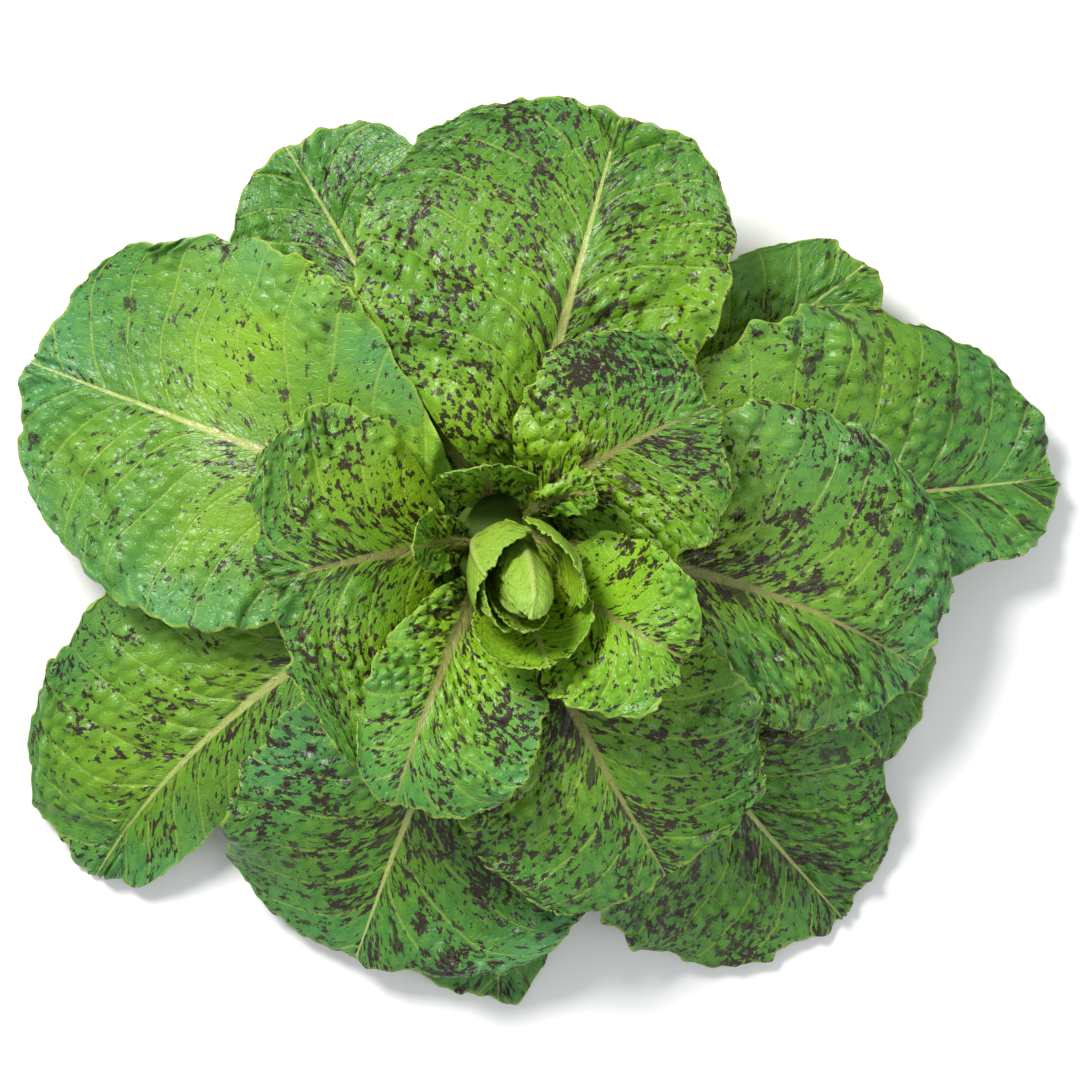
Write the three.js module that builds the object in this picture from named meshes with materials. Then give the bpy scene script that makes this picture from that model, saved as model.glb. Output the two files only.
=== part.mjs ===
// A head of speckled lettuce, cut at the base and standing on its cut butt: a short stem, a rosette of
// twenty-one open leaves and a heart of eight nested ones. Millimetres, +Z up, origin at the centre of the
// cut face. Azimuths are in degrees anticlockwise from +X.
//
// Every leaf is one closed solid: an upper sheet on a grid of rows (base to tip) and columns (left margin
// to right margin), a lower sheet below it by the blade's thickness, both meeting in the margin, and a
// flat end where the leaf joins the stem. Rosette leaves are laid from the outermost inwards, each one
// eased up until it clears the floor and the leaves already under it. Heart leaves are patches of nested
// egg-shaped shells, so that they never meet.
import * as THREE from "three";

// ---- Driving dimensions ----
const BUTT_RADIUS = 14;
const CROWN_RADIUS = 17; // the swollen part of the stem that carries the rosette
const CROWN_HEIGHT = 24; // its centre above the cut face
const CORE_BASE = 38; // where the stem narrows into the core of the heart
const CORE_TOP = 54;
const CORE_RADIUS = 9.6; // at CORE_BASE, tapering to CORE_TIP_RADIUS
const CORE_TIP_RADIUS = 0.8;
const STEM_SIDES = 40;

const LEAN_X = 0.15; // how far the core and the heart lean, per millimetre above CORE_BASE
const LEAN_Y = -0.34;

const JOINT_GAP = 0.6; // between a leaf's base and the stem
const BLADE = 1.1; // thickness of a rosette leaf's blade
const RIB = 4.5; // of its midrib at the base
const RIB_TIP = 1.2;
const BASE_HALF_WIDTH = 7; // of a rosette leaf where it joins the stem
const BASE_SHARE = 0.5; // but no more than this share of the widest
const BASE_CLASP = 20; // how far its sides turn up round the stem, in degrees
const TIP_ROUNDNESS = 3; // power of the falling back of the margin beside the tip
const SHOULDER = 0.72; // half-width at the blunt tip's corners, as a share of the widest
const FLARE = 1.2; // power of the widening from the base: less is fuller
const HANDLE = 0.38; // Bezier handles of the midrib, as a share of base to tip

const ROSETTE_SEATS = [-42, 34]; // elevation on the crown of the first and the last leaf's base
const REST_GAP = 2.4; // clear height kept between two leaves that lie on each other
const FLOOR_GAP = 0.3;

const COLUMNS = [-1, -0.72, -0.42, -0.16, 0, 0.16, 0.42, 0.72, 1]; // closer together at the midrib
const ROWS = 10;

// Rosette leaves, outermost first.
// base, tip: azimuth of the leaf's base and of its tip; turn: extra heading of the midrib at the tip
// reach, height: horizontal distance and height of the tip; launch, droop: slope of the midrib at each end
// left, right: half-widths of the blade, seen from the stem; widest: where, along the leaf
// dip: how far the left and right corners fall back beside the tip, as a share of the length
// cup: how far the left and right margins turn up
// wave: height, number and phase of the undulations of the margin
const ROSETTE = [
  { name: "outer_leaf_1", base: 82, tip: 84, turn: 0, reach: 108, height: 3, launch: 20, droop: -16,
    left: 30, right: 30, widest: 0.62, dip: [0.14, 0.14], cup: [4, 4], wave: [2, 2, 0.3] },
  { name: "outer_leaf_2", base: 176, tip: 172, turn: 0, reach: 122, height: 3, launch: 22, droop: -14,
    left: 34, right: 32, widest: 0.62, dip: [0.14, 0.12], cup: [4, 4], wave: [2, 2, 0.6] },
  { name: "outer_leaf_3", base: 262, tip: 269, turn: 0, reach: 145, height: 2, launch: 22, droop: -12,
    left: 28, right: 40, widest: 0.62, dip: [0.24, 0.1], cup: [4, 4], wave: [3, 2, 0.1] },
  { name: "outer_leaf_4", base: 338, tip: 340, turn: 0, reach: 142, height: 3, launch: 26, droop: -14,
    left: 36, right: 42, widest: 0.6, dip: [0.1, 0.08], cup: [8, 8], wave: [3, 2, 0.4] },
  { name: "outer_leaf_5", base: 118, tip: 119, turn: 4, reach: 142, height: 20, launch: 34, droop: -4,
    left: 42, right: 44, widest: 0.62, dip: [0.12, 0.08], cup: [10, 14], wave: [3, 2, 0.7] },
  { name: "outer_leaf_6", base: 41, tip: 38, turn: 0, reach: 143, height: 20, launch: 34, droop: -2,
    left: 32, right: 30, widest: 0.62, dip: [0.16, 0.1], cup: [22, 20], wave: [3, 2, 0.2] },
  { name: "outer_leaf_7", base: 207, tip: 219, turn: 20, reach: 166, height: 3, launch: 38, droop: -22,
    left: 26, right: 58, widest: 0.6, dip: [0.06, 0.14], cup: [-6, 6], wave: [4, 2, 0.5] },
  { name: "outer_leaf_8", base: 250, tip: 250, turn: 0, reach: 138, height: 5, launch: 40, droop: -28,
    left: 66, right: 56, widest: 0.7, dip: [0.12, 0.02], cup: [-8, 0], wave: [5, 2.5, 0.25] },
  { name: "outer_leaf_9", base: 314, tip: 312, turn: 0, reach: 158, height: 3, launch: 38, droop: -20,
    left: 47, right: 58, widest: 0.68, dip: [0.06, 0.08], cup: [4, -4], wave: [4, 2, 0.8] },
  { name: "outer_leaf_10", base: 10, tip: 7, turn: 0, reach: 174, height: 9, launch: 36, droop: -14,
    left: 62, right: 30, widest: 0.62, dip: [0.16, 0.02], cup: [6, 0], wave: [4, 2, 0.35] },
  { name: "outer_leaf_11", base: 76, tip: 75, turn: 0, reach: 138, height: 46, launch: 52, droop: 4,
    left: 71, right: 48, widest: 0.64, dip: [0.13, 0.06], cup: [-4, 14], wave: [4, 2, 0.6] },
  { name: "outer_leaf_12", base: 158, tip: 159, turn: 0, reach: 158, height: 20, launch: 44, droop: -10,
    left: 62, right: 63, widest: 0.6, dip: [0.14, 0.1], cup: [6, 8], wave: [4, 2, 0.15] },
  { name: "middle_leaf_1", base: 356, tip: 343, turn: -18, reach: 134, height: 30, launch: 50, droop: -20,
    left: 61, right: 38, widest: 0.64, dip: [0.14, 0.02], cup: [-4, -4], wave: [4, 2.5, 0.4] },
  { name: "middle_leaf_2", base: 288, tip: 296, turn: 4, reach: 115, height: 34, launch: 54, droop: -28,
    left: 54, right: 48, widest: 0.66, dip: [0.08, 0.06], cup: [-4, 0], wave: [4, 2.5, 0.9] },
  { name: "middle_leaf_3", base: 182, tip: 189, turn: 6, reach: 74, height: 64, launch: 62, droop: -10,
    left: 72, right: 50, widest: 0.62, dip: [0.1, 0.08], cup: [0, 0], wave: [4, 2, 0.3] },
  { name: "middle_leaf_4", base: 48, tip: 33, turn: -12, reach: 77, height: 72, launch: 60, droop: -4,
    left: 38, right: 40, widest: 0.62, dip: [0.08, 0.06], cup: [0, 0], wave: [4, 2, 0.75] },
  { name: "inner_leaf_1", base: 240, tip: 247, turn: 6, reach: 88, height: 56, launch: 56, droop: -28,
    left: 38, right: 22, widest: 0.62, dip: [0.04, 0.14], cup: [6, 14], wave: [4, 3, 0.2] },
  { name: "inner_leaf_2", base: 325, tip: 328, turn: 4, reach: 65, height: 78, launch: 58, droop: -14,
    left: 28, right: 31, widest: 0.62, dip: [0.1, 0.04], cup: [8, 8], wave: [3, 2.5, 0.6] },
  { name: "inner_leaf_3", base: 108, tip: 104, turn: 0, reach: 24, height: 66, launch: 72, droop: 84,
    left: 17, right: 17, widest: 0.7, dip: [0.16, 0.16], cup: [14, 14], wave: [1, 2, 0.1] },
  { name: "inner_leaf_4", base: 56, tip: 30, turn: 0, reach: 31, height: 78, launch: 56, droop: 84,
    left: 9, right: 9, widest: 0.7, dip: [0.16, 0.16], cup: [14, 14], wave: [1, 2, 0.8] },
  { name: "inner_leaf_5", base: 176, tip: 181, turn: 0, reach: 27, height: 80, launch: 74, droop: 70,
    left: 11, right: 11, widest: 0.7, dip: [0.16, 0.16], cup: [14, 14], wave: [1, 2, 0.5] },
];

// Heart leaves, outermost first.
// azimuth: the side of the heart it stands on; rise: how far it reaches up and over the top, where 90 is
// half way up, 180 the top and more is folded over it; span: how far each side wraps round, in degrees
// open: how far the tip stands out from its shell, as a share of the shell's radius
const HEART = [
  { name: "heart_leaf_1", azimuth: 288, rise: 112, span: 66, open: 0.22 },
  { name: "heart_leaf_2", azimuth: 28, rise: 118, span: 58, open: 0.12 },
  { name: "heart_leaf_3", azimuth: 150, rise: 120, span: 80, open: 0.06 },
  { name: "heart_leaf_4", azimuth: 205, rise: 124, span: 60, open: 0.03 },
  { name: "heart_leaf_5", azimuth: 262, rise: 130, span: 66, open: 0 },
  { name: "heart_leaf_6", azimuth: 80, rise: 194, span: 68, open: 0 },
  { name: "heart_leaf_7", azimuth: 215, rise: 156, span: 68, open: 0 },
  { name: "heart_leaf_8", azimuth: 350, rise: 168, span: 68, open: 0 },
];
const HEART_RADIUS = 18.5; // of the outermost shell, and less by HEART_STEP for each next one
const HEART_STEP = 2;
const HEART_BOTTOM = 38;
const HEART_TOP = 104;
const HEART_BOTTOM_STEP = 1.9;
const HEART_TOP_STEP = 2.2;
const HEART_FOOT = 26; // where on its shell a heart leaf starts, on the same scale as rise
const HEART_FULLNESS = 0.8; // power of the shells' roundness: less is more like a barrel
const HEART_BASE_SPAN = 18;
const HEART_BLADE = 0.8;
const HEART_RIB = 1.3;
const HEART_ROWS = 9;

const LEAF_COLOURS = { outer: 0x6f9e35, middle: 0x7cab30, inner: 0x8fbe34, heart: 0x9cc73c };
const STEM_COLOUR = 0xdfe3b8;

// ---- Small helpers ----
const radians = THREE.MathUtils.degToRad;
const lerp = THREE.MathUtils.lerp;
const UP = new THREE.Vector3(0, 0, 1);
const CROWN = new THREE.Vector3(0, 0, CROWN_HEIGHT);

// Unit vector at an azimuth and an elevation, in degrees.
function heading(azimuth, elevation) {
  const a = radians(azimuth);
  const e = radians(elevation);
  return new THREE.Vector3(Math.cos(a) * Math.cos(e), Math.sin(a) * Math.cos(e), Math.sin(e));
}

// The core and the heart lean together, by a shear above CORE_BASE.
function lean(point) {
  const above = Math.max(0, point.z - CORE_BASE);
  point.x += above * LEAN_X;
  point.y += above * LEAN_Y;
  return point;
}

// ---- Stem ----
function stemGeometry() {
  const profile = [new THREE.Vector2(0, 0), new THREE.Vector2(BUTT_RADIUS, 0)];
  for (let elevation = -48; elevation <= 48; elevation += 12) {
    const e = radians(elevation);
    profile.push(new THREE.Vector2(CROWN_RADIUS * Math.cos(e), CROWN_HEIGHT + CROWN_RADIUS * Math.sin(e)));
  }
  profile.push(new THREE.Vector2(CORE_RADIUS, CORE_BASE));
  profile.push(new THREE.Vector2(CORE_TIP_RADIUS, CORE_TOP - CORE_TIP_RADIUS));
  profile.push(new THREE.Vector2(0, CORE_TOP));
  const geometry = new THREE.LatheGeometry(profile, STEM_SIDES).rotateX(Math.PI / 2);
  const position = geometry.getAttribute("position");
  const point = new THREE.Vector3();
  for (let i = 0; i < position.count; i++) {
    lean(point.fromBufferAttribute(position, i));
    position.setXYZ(i, point.x, point.y, point.z);
  }
  geometry.computeVertexNormals();
  return geometry;
}

// ---- Leaf solids ----

// Surface normals of a sheet of points [row][column], towards the upper side.
function sheetNormals(sheet) {
  const last = sheet.length - 1;
  const side = sheet[0].length - 1;
  return sheet.map((row, j) =>
    row.map((_, i) => {
      const along = sheet[Math.min(j + 1, last)][i].clone().sub(sheet[Math.max(j - 1, 0)][i]);
      const across = sheet[j][Math.min(i + 1, side)].clone().sub(sheet[j][Math.max(i - 1, 0)]);
      return across.cross(along).normalize();
    }),
  );
}

// Closes a sheet into a solid: the lower sheet shares the margin, and the base row has a flat end.
function solidFromSheet(sheet, thicknessAt) {
  const rows = sheet.length;
  const columns = sheet[0].length;
  const normals = sheetNormals(sheet);
  const lower = sheet.map((row, j) =>
    row.map((point, i) => {
      const onMargin = i === 0 || i === columns - 1 || j === rows - 1;
      return onMargin ? point : point.clone().addScaledVector(normals[j][i], -thicknessAt(i, j));
    }),
  );
  const triangles = [];
  const quad = (a, b, c, d) => {
    // Split along the longer diagonal, and leave out a side that has no length.
    const halves = a.distanceTo(c) > b.distanceTo(d) ? [[a, b, c], [a, c, d]] : [[a, b, d], [b, c, d]];
    for (const [p, q, r] of halves) {
      if (p !== q && q !== r && r !== p) triangles.push(p, q, r);
    }
  };
  for (let j = 0; j < rows - 1; j++) {
    for (let i = 0; i < columns - 1; i++) {
      quad(sheet[j][i], sheet[j][i + 1], sheet[j + 1][i + 1], sheet[j + 1][i]);
      quad(lower[j][i], lower[j + 1][i], lower[j + 1][i + 1], lower[j][i + 1]);
    }
  }
  for (let i = 0; i < columns - 1; i++) {
    quad(lower[0][i], lower[0][i + 1], sheet[0][i + 1], sheet[0][i]);
  }
  const geometry = new THREE.BufferGeometry().setFromPoints(triangles);
  geometry.computeVertexNormals();
  return geometry;
}

// ---- Rosette leaves ----

// Half-width of the blade along the leaf: narrow at the base, widest at leaf.widest, blunt at the tip.
function halfWidth(leaf, side, v) {
  const wide = side < 0 ? leaf.left : leaf.right;
  if (v < leaf.widest) {
    const base = Math.min(BASE_HALF_WIDTH, BASE_SHARE * wide);
    return lerp(base, wide, Math.sin((Math.PI * v) / (2 * leaf.widest)) ** FLARE);
  }
  const past = (v - leaf.widest) / (1 - leaf.widest);
  return wide * (1 - (1 - SHOULDER) * past * past);
}

function midribCurve(leaf, seat) {
  const start = CROWN.clone().addScaledVector(heading(leaf.base, seat), CROWN_RADIUS + JOINT_GAP);
  const end = heading(leaf.tip, 0).multiplyScalar(leaf.reach).setZ(leaf.height);
  const handle = start.distanceTo(end) * HANDLE;
  const rising = start.clone().addScaledVector(heading(leaf.base, leaf.launch), handle);
  const falling = end.clone().addScaledVector(heading(leaf.tip + leaf.turn, leaf.droop), -handle);
  return new THREE.CubicBezierCurve3(start, rising, falling, end);
}

// The upper sheet of a rosette leaf as it would hang free.
function freeSheet(leaf, seat) {
  const curve = midribCurve(leaf, seat);
  const sheet = [];
  for (let j = 0; j <= ROWS; j++) {
    const v = j / ROWS;
    const row = COLUMNS.map((u) => {
      const side = Math.sign(u) || 1;
      const share = Math.abs(u);
      const station = v * (1 - (side < 0 ? leaf.dip[0] : leaf.dip[1]) * share ** TIP_ROUNDNESS);
      const centre = curve.getPointAt(station);
      const along = curve.getTangentAt(station);
      const across = along.clone().cross(UP).normalize();
      const out = across.clone().cross(along);
      const width = halfWidth(leaf, side, v);
      const clasp = BASE_CLASP * (1 - v) ** 3;
      const turnUp = radians((side < 0 ? leaf.cup[0] : leaf.cup[1]) + clasp) || 1e-6;
      const [height, number, phase] = leaf.wave;
      const wave = height * share * share * v * Math.sin(2 * Math.PI * (number * v + phase + 0.18 * side));
      const sideways = (width * Math.sin(turnUp * share)) / turnUp;
      const upwards = (width * (1 - Math.cos(turnUp * share))) / turnUp + wave;
      return centre.addScaledVector(across, side * sideways).addScaledVector(out, upwards);
    });
    sheet.push(row);
  }
  return sheet;
}

function ribbedThickness(blade, rib, ribTip, rows) {
  return (i, j) => (COLUMNS[i] === 0 ? lerp(rib, ribTip, Math.sqrt(j / rows)) : blade);
}

// ---- Laying the rosette leaves on each other ----

// What is in place so far, as the highest elevation about the crown by azimuth and distance.
const AZIMUTHS = 240;
const DISTANCES = 84;
const RING = 2.5; // millimetres of distance per ring
const canopy = Array.from({ length: AZIMUTHS * DISTANCES }, (_, cell) => {
  const distance = ((cell % DISTANCES) + 0.5) * RING;
  const floor = FLOOR_GAP - REST_GAP; // leaves lie down on the floor itself, without the gap
  return distance > 27 ? Math.asin((floor - CROWN_HEIGHT) / distance) : -Math.PI / 2;
});

function polar(point) {
  const from = point.clone().sub(CROWN);
  const distance = from.length();
  return { azimuth: Math.atan2(from.y, from.x), elevation: Math.asin(from.z / distance), distance };
}

// The four map cells round a place, with bilinear weights.
function cellsAround({ azimuth, distance }) {
  const a = ((azimuth / (2 * Math.PI) + 1) % 1) * AZIMUTHS - 0.5;
  const d = Math.min(Math.max(distance / RING - 0.5, 0), DISTANCES - 1.001);
  const [a0, d0] = [Math.floor(a), Math.floor(d)];
  return [0, 1].flatMap((i) =>
    [0, 1].map((j) => ({
      cell: ((a0 + i + AZIMUTHS) % AZIMUTHS) * DISTANCES + d0 + j,
      weight: Math.abs(1 - i - (a - a0)) * Math.abs(1 - j - (d - d0)),
    })),
  );
}

// Calls back with points spread over every cell of a sheet, and the corners they lie between.
function sample(sheet, steps, visit) {
  for (let j = 0; j < sheet.length - 1; j++) {
    for (let i = 0; i < sheet[0].length - 1; i++) {
      for (let n = 0; n <= steps; n++) {
        for (let m = 0; m <= steps; m++) {
          const low = sheet[j][i].clone().lerp(sheet[j][i + 1], m / steps);
          const high = sheet[j + 1][i].clone().lerp(sheet[j + 1][i + 1], m / steps);
          visit(low.lerp(high, n / steps), i, j, m / steps, n / steps);
        }
      }
    }
  }
}

// Eases a sheet up about the crown until it clears the canopy, then adds it to the canopy.
function layOn(sheet, thicknessAt) {
  const columns = sheet[0].length;
  const need = sheet.map((row) => row.map(() => 0));
  const thickness = (i, j) => (i === 0 || i === columns - 1 ? 0 : thicknessAt(i, j));
  sample(sheet, 5, (point, i, j, m, n) => {
    const place = polar(point);
    const below = cellsAround(place).reduce((sum, { cell, weight }) => sum + weight * canopy[cell], 0);
    const near = lerp(thickness(i, j), thickness(i + 1, j), m);
    const far = lerp(thickness(i, j + 1), thickness(i + 1, j + 1), m);
    const lift = below + (REST_GAP + lerp(near, far, n)) / place.distance - place.elevation;
    for (const [dj, di] of [[0, 0], [0, 1], [1, 0], [1, 1]]) {
      need[j + dj][i + di] = Math.max(need[j + dj][i + di], lift);
    }
  });
  let lifts = need.map((row) => row.slice());
  for (let pass = 0; pass < 6; pass++) {
    lifts = lifts.map((row, j) =>
      row.map((lift, i) => {
        const beside = [row[i - 1], row[i + 1], lifts[j - 1]?.[i], lifts[j + 1]?.[i]].filter((x) => x >= 0);
        return Math.max(need[j][i], (lift + beside.reduce((sum, x) => sum + x, 0)) / (beside.length + 1));
      }),
    );
  }
  const laid = sheet.map((row, j) =>
    row.map((point, i) => {
      const { azimuth, elevation, distance: free } = polar(point);
      const distance = Math.max(free, CROWN_RADIUS + JOINT_GAP);
      const raised = elevation + lifts[j][i];
      const out = distance * Math.cos(raised);
      const above = CROWN_HEIGHT + distance * Math.sin(raised);
      return new THREE.Vector3(out * Math.cos(azimuth), out * Math.sin(azimuth), above);
    }),
  );
  sample(laid, 9, (point) => {
    const place = polar(point);
    for (const { cell } of cellsAround(place)) canopy[cell] = Math.max(canopy[cell], place.elevation);
  });
  return laid;
}

// ---- Heart leaves ----

// The inner sheet of a heart leaf, on shell number index.
function heartSheet(leaf, index) {
  const radius = HEART_RADIUS - HEART_STEP * index;
  const bottom = HEART_BOTTOM + HEART_BOTTOM_STEP * index;
  const top = HEART_TOP - HEART_TOP_STEP * index;
  const outward = heading(leaf.azimuth, 0);
  const sideways = outward.clone().cross(UP);
  const sheet = [];
  for (let j = 0; j <= HEART_ROWS; j++) {
    const v = j / HEART_ROWS;
    const row = COLUMNS.map((u) => {
      const widening = Math.sin((Math.PI / 2) * Math.min(1, v / 0.6));
      const blunt = 1 - 0.2 * Math.max(0, (v - 0.6) / 0.4) ** 2;
      const lateral = radians(lerp(HEART_BASE_SPAN, leaf.span, widening) * blunt * u);
      const climb = radians(lerp(HEART_FOOT, leaf.rise, v * (1 - 0.08 * u * u)));
      const point = outward.clone().multiplyScalar(Math.cos(lateral) * Math.sin(climb));
      point.addScaledVector(sideways, Math.sin(lateral));
      point.multiplyScalar(radius * point.length() ** (HEART_FULLNESS - 1) * (1 + leaf.open * v * v));
      const height = (top + bottom) / 2 - (Math.cos(lateral) * Math.cos(climb) * (top - bottom)) / 2;
      return lean(point.setZ(height));
    });
    sheet.push(row);
  }
  return sheet;
}

// ---- The head ----
const head = new THREE.Group();
head.name = "head_lettuce";

function addPiece(name, geometry, colour, roughness) {
  const mesh = new THREE.Mesh(geometry, new THREE.MeshStandardMaterial({ color: colour, roughness }));
  mesh.name = name;
  head.add(mesh);
}

addPiece("stem", stemGeometry(), STEM_COLOUR, 0.6);

ROSETTE.forEach((leaf, index) => {
  const seat = lerp(ROSETTE_SEATS[0], ROSETTE_SEATS[1], index / (ROSETTE.length - 1));
  const thickness = ribbedThickness(BLADE, RIB, RIB_TIP, ROWS);
  const sheet = layOn(freeSheet(leaf, seat), thickness);
  addPiece(leaf.name, solidFromSheet(sheet, thickness), LEAF_COLOURS[leaf.name.split("_")[0]], 0.45);
});

HEART.forEach((leaf, index) => {
  const thickness = ribbedThickness(HEART_BLADE, HEART_RIB, HEART_BLADE, HEART_ROWS);
  addPiece(leaf.name, solidFromSheet(heartSheet(leaf, index), thickness), LEAF_COLOURS.heart, 0.45);
});

export default head;
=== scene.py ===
import math

import bpy
import numpy as np
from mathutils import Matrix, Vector
from mathutils.bvhtree import BVHTree


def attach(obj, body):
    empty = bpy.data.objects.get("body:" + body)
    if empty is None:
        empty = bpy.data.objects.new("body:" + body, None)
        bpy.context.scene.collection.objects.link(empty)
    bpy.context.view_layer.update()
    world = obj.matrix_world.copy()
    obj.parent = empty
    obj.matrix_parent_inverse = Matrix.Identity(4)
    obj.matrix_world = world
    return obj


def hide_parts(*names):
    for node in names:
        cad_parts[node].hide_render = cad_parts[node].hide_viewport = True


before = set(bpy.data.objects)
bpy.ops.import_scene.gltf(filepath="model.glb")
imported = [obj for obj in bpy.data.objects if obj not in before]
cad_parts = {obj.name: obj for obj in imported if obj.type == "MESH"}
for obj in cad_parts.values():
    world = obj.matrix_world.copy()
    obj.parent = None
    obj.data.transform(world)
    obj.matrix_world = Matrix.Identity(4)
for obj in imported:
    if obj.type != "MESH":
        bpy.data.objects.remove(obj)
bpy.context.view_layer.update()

# A speckled lettuce. Lengths are in metres in the objects, and in millimetres wherever a leaf is shaped.
MM = 0.001

# ---------------------------------------------------------------- camera, floor and lights
HEAD_MIDDLE = (0.0105, 0.0015)
CAMERA_HEIGHT = 1.15
VIEW_WIDTH = 0.324  # seen at 50 mm above the floor


def place_camera():
    bpy.ops.object.camera_add(location=(*HEAD_MIDDLE, CAMERA_HEIGHT), rotation=(0, 0, 0))
    camera = bpy.context.object
    camera.name = "camera"
    camera.data.sensor_fit = "HORIZONTAL"
    camera.data.angle = 2 * math.atan(VIEW_WIDTH / 2 / (CAMERA_HEIGHT - 0.05))
    camera.data.clip_start = 0.01
    bpy.context.scene.camera = camera


def place_light(name, place, size, power, colour):
    bpy.ops.object.light_add(type="AREA", location=place)
    light = bpy.context.object
    light.name = name
    light.data.shape = "DISK"
    light.data.size = size
    light.data.energy = power
    light.data.color = colour
    light.rotation_euler = (Vector((0, 0, 0.04)) - Vector(place)).to_track_quat("-Z", "Y").to_euler()


def light_the_table():
    place_light("window", (-0.6, 0.8, 1.1), 0.5, 27, (1.0, 0.98, 0.95))
    place_light("reflector", (1.0, -0.7, 1.0), 1.2, 7, (0.93, 0.97, 1.0))
    world = bpy.data.worlds.new("room")
    bpy.context.scene.world = world
    world.use_nodes = True
    world.node_tree.nodes["Background"].inputs["Color"].default_value = (0.95, 0.98, 1.0, 1)
    world.node_tree.nodes["Background"].inputs["Strength"].default_value = 0.6
    bpy.context.scene.view_settings.view_transform = "Standard"


def lay_floor():
    bpy.ops.mesh.primitive_plane_add(size=6, location=(0, 0, 0))
    floor = bpy.context.object
    floor.name = "floor"
    material = bpy.data.materials.new("pale floor")
    material.use_nodes = True
    shader = material.node_tree.nodes["Principled BSDF"]
    shader.inputs["Base Color"].default_value = (0.86, 0.86, 0.85, 1)
    shader.inputs["Roughness"].default_value = 0.9
    floor.data.materials.append(material)


# ---------------------------------------------------------------- the leaves, one line each
# grid: squares across the blade; blister: height of the quilting; cell: its size across the veins
# vein: distance between the side veins; ruffle: height and wavelength of the margin's waves
# nibble: depth of the margin's uneven edge; swell: height of the slow waves of the blade
# speckle, blotch: how thickly it is marked; blue: how much painted bluish sky reflection lies along its
# margins; pale: lightness; seed: its own chance
OUTER = dict(grid=112, blister=2.3, cell=6.4, vein=14.0, ruffle=6.5, wave=30.0, nibble=3.0, swell=6.0,
             speckle=0.5, blotch=0.4, blue=0.2, pale=0.4)
MIDDLE = dict(grid=112, blister=2.6, cell=6.0, vein=12.0, ruffle=5.5, wave=24.0, nibble=2.8, swell=4.5,
              speckle=0.62, blotch=0.45, blue=0.15, pale=0.4)
INNER = dict(grid=84, blister=2.4, cell=5.0, vein=9.0, ruffle=3.8, wave=16.0, nibble=2.0, swell=3.0,
             speckle=0.6, blotch=0.3, blue=0.1, pale=0.6)
HEART = dict(grid=56, blister=0.8, cell=3.2, vein=6.0, ruffle=1.4, wave=8.0, nibble=2.0, swell=0.8,
             speckle=0.35, blotch=0.05, blue=0.0, pale=0.9)
LEAVES = {
    "outer_leaf_1": dict(OUTER, seed=1, grid=60),
    "outer_leaf_2": dict(OUTER, seed=2, grid=60),
    "outer_leaf_3": dict(OUTER, seed=3, grid=80, blotch=0.5),
    "outer_leaf_4": dict(OUTER, seed=4, grid=80, pale=0.3),
    "outer_leaf_5": dict(OUTER, seed=5, grid=80, pale=0.35, speckle=0.5),
    "outer_leaf_6": dict(OUTER, seed=6, grid=80, pale=0.35, speckle=0.35, blotch=0.35),
    "outer_leaf_7": dict(OUTER, seed=7, speckle=0.42, blotch=0.45, blue=0.4, pale=0.5, blister=1.9),
    "outer_leaf_8": dict(OUTER, seed=8, speckle=0.7, blotch=0.6, blue=0.45, pale=0.1),
    "outer_leaf_9": dict(OUTER, seed=9, speckle=0.7, blotch=0.6, blue=0.1, pale=0.1),
    "outer_leaf_10": dict(OUTER, seed=10, speckle=0.34, blotch=0.65, blue=0.45, pale=0.35),
    "outer_leaf_11": dict(OUTER, seed=11, speckle=0.66, blotch=0.55, blue=0.15, pale=0.4, swell=7.5),
    "outer_leaf_12": dict(OUTER, seed=12, speckle=0.3, blotch=0.4, blue=0.45, pale=0.6, blister=2.0,
                          ruffle=8.5, wave=22.0),
    "middle_leaf_1": dict(MIDDLE, seed=13, speckle=0.6, blotch=0.6, blue=0.45, pale=0.5),
    "middle_leaf_2": dict(MIDDLE, seed=14, speckle=0.7, blotch=0.5, blue=0.1, pale=0.35),
    "middle_leaf_3": dict(MIDDLE, seed=15, speckle=0.65, blotch=0.5, blue=0.15, pale=0.5),
    "middle_leaf_4": dict(MIDDLE, seed=16, speckle=0.75, blotch=0.5, blue=0.15, pale=0.4),
    "inner_leaf_1": dict(INNER, seed=17, blister=2.6, speckle=0.6, blotch=0.35, blue=0.3, pale=0.5, grid=96),
    "inner_leaf_2": dict(INNER, seed=18, speckle=0.6, pale=0.8, grid=96),
    "inner_leaf_3": dict(INNER, seed=19, grid=60, speckle=0.5, pale=0.5),
    "inner_leaf_4": dict(INNER, seed=20, grid=48, pale=0.6),
    "inner_leaf_5": dict(INNER, seed=21, grid=48, pale=0.7),
    "heart_leaf_1": dict(HEART, seed=22, grid=72, pale=0.85, speckle=0.4),
    "heart_leaf_2": dict(HEART, seed=23),
    "heart_leaf_3": dict(HEART, seed=24, grid=72),
    "heart_leaf_4": dict(HEART, seed=25),
    "heart_leaf_5": dict(HEART, seed=26),
    "heart_leaf_6": dict(HEART, seed=27, grid=64, speckle=0.15),
    "heart_leaf_7": dict(HEART, seed=28, grid=44),
    "heart_leaf_8": dict(HEART, seed=29, grid=40),
}


# ---------------------------------------------------------------- smooth chance
def smoothstep(low, high, value):
    t = np.clip((value - low) / (high - low), 0, 1)
    return t * t * (3 - 2 * t)


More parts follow.
